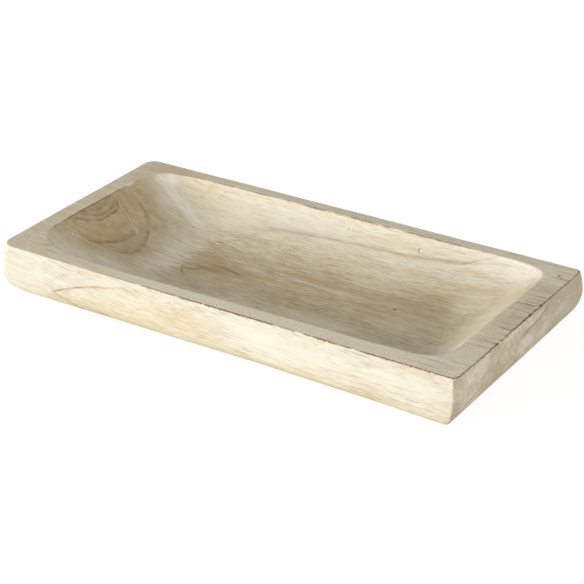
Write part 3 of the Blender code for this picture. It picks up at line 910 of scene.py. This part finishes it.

# Small marks: a filled pinhole with a painted shadow and highlight, a brown knot speck, black painted
# shade in the end's cracks, a nick, and pale chips, some of them partly painted highlights
for centre_mm, reach_mm, amount, tone in (
    # The pinhole: a grey ring of painted shadow in the hole, and a pale filler centre brightened as a
    # painted highlight
    ((72.7, 82.2, 30), (3, 4, 3), 0.65, PINHOLE_SHADOW),
    ((73.6, 82.2, 30.2), (1.4, 3, 1.7), 1.20, FILLER_AND_HIGHLIGHT_WHITE),
    ((86.8, 18.4, 10.6), (2.4, 1.5, 3), 1.30, KNOT_RED),
    ((37.8, -14.4, 10.6), (2.4, 1.2, 3), 0.70, KNOT_BROWN),
    ((-3, -35.5, 11), (1.8, 1.2, 3), 0.80, KNOT_TAN),
    ((133.4, 22.6, 11), (2.2, 1.1, 3), 0.80, WHITEWASH),
    ((134.2, 25.7, 11), (1.6, 1, 3), 0.80, WHITEWASH),
    ((-91.3, 40, 11), (1.8, 1.2, 3), 0.80, WHITEWASH),
    ((191.3, 81.1, 40), (2, 1.8, 2), 0.90, NICK_BROWN),
    ((194.8, 78, 40), (1.4, 1.6, 2), 0.60, NICK_BROWN),
    # Black spots of painted shade where the end's cracks open at the edge
    ((200.6, 30.2, 40), (1.5, 2.2, 1.3), 0.95, CRACK_SHADOW_BLACK),
    ((200.9, 22.4, 40), (1.3, 1.8, 1.2), 0.85, CRACK_SHADOW_BLACK),
    ((200.7, 12.6, 40), (1.4, 3.2, 1.3), 0.95, CRACK_SHADOW_BLACK),
    ((200.9, 2.3, 40), (1.2, 2.4, 1.2), 0.75, CRACK_SHADOW_BLACK),
    ((200.6, -39.5, 40), (2.2, 1.4, 1.4), 0.95, CRACK_SHADOW_BLACK),
    ((199.6, 25.4, 40), (1.6, 1.6, 1.6), 1.10, CHIP_AND_GLINT_WHITE),
    ((200.1, -29.4, 40), (1.6, 1.4, 1.8), 0.90, CHIP_AND_GLINT_WHITE),
    ((200.9, -35.6, 40), (1.4, 1.8, 1.8), 0.90, CHIP_AND_GLINT_WHITE),
    ((202, 57.8, 32.2), (3, 1.5, 1.5), 1.10, CHIP_AND_GLINT_WHITE),
    # Pale chips at the front face's right corner, partly painted highlight on the worn edge
    ((194.2, -100.5, 38.3), (2.2, 3, 1.1), 0.70, CHIP_AND_GLINT_WHITE),
    ((197, -100.5, 35.2), (0.9, 3, 2.4), 0.65, CHIP_AND_GLINT_WHITE),
    ((4, 83.9, 31.9), (1.4, 4, 3), 0.80, WHITEWASH),
    ((8.5, 84, 32.1), (1.2, 4, 3), 0.70, WHITEWASH),
    # Pale whitewash flecks on the left slope, partly painted glints of its shinier whitewash
    ((-172.3, -43, 32.5), (2, 1.1, 3), 0.90, CHIP_AND_GLINT_WHITE),
    ((-169.6, -41.2, 30.8), (1.8, 1.1, 2), 0.85, CHIP_AND_GLINT_WHITE),
    ((-174.9, -44.6, 34.2), (1.4, 0.9, 2), 0.70, CHIP_AND_GLINT_WHITE),
    ((-173.3, -37.9, 32.9), (1.4, 1, 2), 0.70, CHIP_AND_GLINT_WHITE),
    ((-167.3, -40, 29.3), (1.3, 0.9, 2), 0.60, CHIP_AND_GLINT_WHITE),
    ((-183.6, 47, 40), (3, 7, 3), 0.80, WHITEWASH),
):
    paint.lay(tone, spot(centre_mm, reach_mm, amount))

surface = wood.node_tree.nodes["Principled BSDF"]
paint.put(surface.inputs["Base Color"], paint.colour)
dullness = paint.plus(fibre, paint.times(wash, -0.25))
paint.put(surface.inputs["Roughness"], paint.stretch(dullness, 0.2, 0.7, 0.62, 0.80))
relief = paint.plus(
    paint.times(fibre, 0.6), paint.times(hair, 0.5), paint.times(dash, -0.4), paint.times(vessel, -0.6),
    paint.times(speck, paint.plus(0.15, paint.times(rim, 0.6))),
)
grain_bump = paint.node("Bump", {"Height": relief, "Distance": 0.00038, "Strength": 0.6})
paint.put(surface.inputs["Normal"], grain_bump.outputs["Normal"])
body_mesh.materials.append(wood)

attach(body, "root")
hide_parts("tray_body")

# Felt feet
# Four die-cut discs of grey pressed wool felt, stuck under the corners with a thin pale film of
# glue. Their cut edges are slightly hairy and waisted, and their undersides pressed flat.
FELT_GREY = (0.300, 0.290, 0.270, 1)
FELT_DARK = (0.170, 0.162, 0.150, 1)
FELT_PALE = (0.470, 0.455, 0.425, 1)
GLUE_PALE = (0.720, 0.660, 0.480, 1)
GLUE_FILM = 0.00026
FELT_LUMP = 0.00010
GLUE_INSET = 0.0005
FELT_LUMP_LENGTH = 0.0011
FELT_WAIST = 0.00018
FELT_EDGE_EASE = 0.0003
FELT_EDGE_DEPTH = 0.0006
FELT_PRESSED = 0.0001
FOOT_SEGMENTS = 72
UNDER_RINGS = 14
EDGE_RINGS = 12
GLUE_RINGS = 4

felt = bpy.data.materials.new("grey felt")
felt.use_nodes = True
wool = Formula(felt.node_tree, FELT_DARK)
felt_place = wool.node("TexCoord").outputs["Object"]
fluff = wool.noise(felt_place, (900, 900, 900), 4.0, 0.7)
ruffle = wool.noise(felt_place, (500, 500, 500), 2.0, output="Color")
ruffled = wool.vector("ADD", felt_place, wool.vector("MULTIPLY", ruffle, (0.004, 0.004, 0.004)))
strands = wool.noise(ruffled, (3200, 900, 2000), 2.0, 0.6)
wool.lay(FELT_GREY, wool.rise(fluff, 0.35, 0.62))
wool.lay(FELT_PALE, wool.rise(strands, 0.52, 0.72), 0.6)
wool.lay(GLUE_PALE, wool.rise(wool.parts(felt_place)[2], 0.00150, 0.00156))
felt_surface = felt.node_tree.nodes["Principled BSDF"]
felt_surface.inputs["Roughness"].default_value = 0.95
felt_surface.inputs["Sheen Weight"].default_value = 0.35
wool.put(felt_surface.inputs["Base Color"], wool.colour)
felt_bump = wool.node("Bump", {"Height": wool.plus(fluff, strands), "Distance": 0.0002, "Strength": 0.8})
wool.put(felt_surface.inputs["Normal"], felt_bump.outputs["Normal"])

for number, foot_name in enumerate((
    "felt_foot_front_left", "felt_foot_front_right", "felt_foot_back_left", "felt_foot_back_right",
)):
    low, high = (Vector(corner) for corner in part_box(foot_name))
    foot_radius = (high.x - low.x) / 2
    felt_top = high.z - low.z
    glue_top = felt_top + GLUE_FILM
    glue_radius = foot_radius - GLUE_INSET
    profile = [(foot_radius * step / UNDER_RINGS, 0) for step in range(1, UNDER_RINGS)]
    for step in range(EDGE_RINGS + 1):
        share = step / EDGE_RINGS
        waist = FELT_WAIST * math.sin(math.pi * share) + FELT_EDGE_EASE * abs(2 * share - 1) ** 8
        profile.append((foot_radius - waist, felt_top * share))
    profile += [(glue_radius, felt_top), (glue_radius, glue_top)]
    profile += [(foot_radius * step / GLUE_RINGS, glue_top) for step in range(GLUE_RINGS - 1, 0, -1)]
    angles = 2 * math.pi * np.arange(FOOT_SEGMENTS) / FOOT_SEGMENTS
    rings = np.array([
        np.stack([out * np.cos(angles), out * np.sin(angles), np.full(FOOT_SEGMENTS, height)], 1)
        for out, height in profile
    ])
    lumps = wander(rings.reshape(-1, 3), FELT_LUMP_LENGTH, 40 + number).reshape(rings.shape)
    out = np.hypot(rings[..., 0], rings[..., 1])
    on_edge = (out > foot_radius - FELT_EDGE_DEPTH) & (rings[..., 2] < felt_top + 0.5 * GLUE_FILM)
    shrink = 1 - FELT_LUMP * (1 + lumps[..., 0]) / foot_radius * on_edge
    rings[..., :2] *= shrink[..., None]
    rings[..., 2] += 0.5 * FELT_LUMP * (1 + lumps[..., 2]) * (rings[..., 2] < FELT_PRESSED)
    foot_points = [(0, 0, 0.0), *rings.reshape(-1, 3).tolist(), (0, 0, glue_top)]
    foot_faces = []
    for ring in range(len(profile) - 1):
        for step in range(FOOT_SEGMENTS):
            here = 1 + ring * FOOT_SEGMENTS + step
            beside = 1 + ring * FOOT_SEGMENTS + (step + 1) % FOOT_SEGMENTS
            foot_faces.append((here, beside, beside + FOOT_SEGMENTS, here + FOOT_SEGMENTS))
    top_ring = 1 + (len(profile) - 1) * FOOT_SEGMENTS
    for step in range(FOOT_SEGMENTS):
        beside = (step + 1) % FOOT_SEGMENTS
        foot_faces.append((0, 1 + beside, 1 + step))
        foot_faces.append((len(foot_points) - 1, top_ring + step, top_ring + beside))
    foot_mesh = bpy.data.meshes.new(foot_name + "_felt")
    foot_mesh.from_pydata(foot_points, [], foot_faces)
    foot_mesh.validate()
    foot_mesh.update()
    foot_mesh.shade_smooth()
    foot_mesh.materials.append(felt)
    foot = bpy.data.objects.new(foot_name + "_felt", foot_mesh)
    foot.location = ((low.x + high.x) / 2, (low.y + high.y) / 2, low.z)
    scene.collection.objects.link(foot)
    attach(foot, "root")
    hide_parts(foot_name)

# Studio floor and lights
# A seamless white sheet, white to the camera but for a faint shadow, with one wide softbox low in
# front and two weaker ones at the ends. The even world light stands for the bright room.
FLOOR_SIZE = 8.0
PAPER_COLOUR = (0.80, 0.80, 0.80, 1)
SHEET_GLOW = 0.90
SHEET_SHADOW_COLOUR = (0.22, 0.22, 0.22, 1)
ROOM_LIGHT = 0.320
SOFTBOX_DISTANCE = 4.0
SOFTBOX_SIZE = 1.6

bpy.ops.mesh.primitive_plane_add(size=FLOOR_SIZE)
floor = bpy.context.object
floor.name = "studio_floor"
sheet = bpy.data.materials.new("white sheet")
sheet.use_nodes = True
sheet_nodes = Formula(sheet.node_tree)
matte = sheet.node_tree.nodes["Principled BSDF"]
matte.inputs["Roughness"].default_value = 1.0
matte.inputs["Specular IOR Level"].default_value = 0.0
seen = sheet_nodes.node("LightPath").outputs["Is Camera Ray"]
sheet_nodes.put(matte.inputs["Base Color"], sheet_nodes.blend(seen, PAPER_COLOUR, SHEET_SHADOW_COLOUR))
matte.inputs["Emission Color"].default_value = (1, 1, 1, 1)
sheet_nodes.put(matte.inputs["Emission Strength"], sheet_nodes.times(seen, SHEET_GLOW))
floor.data.materials.append(sheet)

world = bpy.data.worlds.new("studio")
world.use_nodes = True
backdrop = world.node_tree.nodes["Background"]
backdrop.inputs["Color"].default_value = (1, 1, 1, 1)
world_nodes = Formula(world.node_tree)
camera_sees = world_nodes.node("LightPath").outputs["Is Camera Ray"]
world_nodes.put(backdrop.inputs["Strength"], world_nodes.stretch(camera_sees, 0.0, 1.0, ROOM_LIGHT, 1.0))
scene.world = world


def softbox(name, turn, rise, power):
    """A round area light, placed by its degrees from the tray's front and from the floor."""
    turn = math.radians(turn)
    rise = math.radians(rise)
    light = bpy.data.lights.new(name, "AREA")
    light.shape = "DISK"
    light.size = SOFTBOX_SIZE
    light.energy = power
    lamp = bpy.data.objects.new(name, light)
    lamp.location = (
        SOFTBOX_DISTANCE * math.cos(rise) * math.sin(turn),
        -SOFTBOX_DISTANCE * math.cos(rise) * math.cos(turn),
        SOFTBOX_DISTANCE * math.sin(rise),
    )
    lamp.rotation_euler = (-lamp.location).to_track_quat("-Z", "Y").to_euler()
    scene.collection.objects.link(lamp)


softbox("front_softbox", -30, 12, 148)
softbox("left_softbox", -100, 30, 34)
softbox("right_softbox", 100, 12, 59)
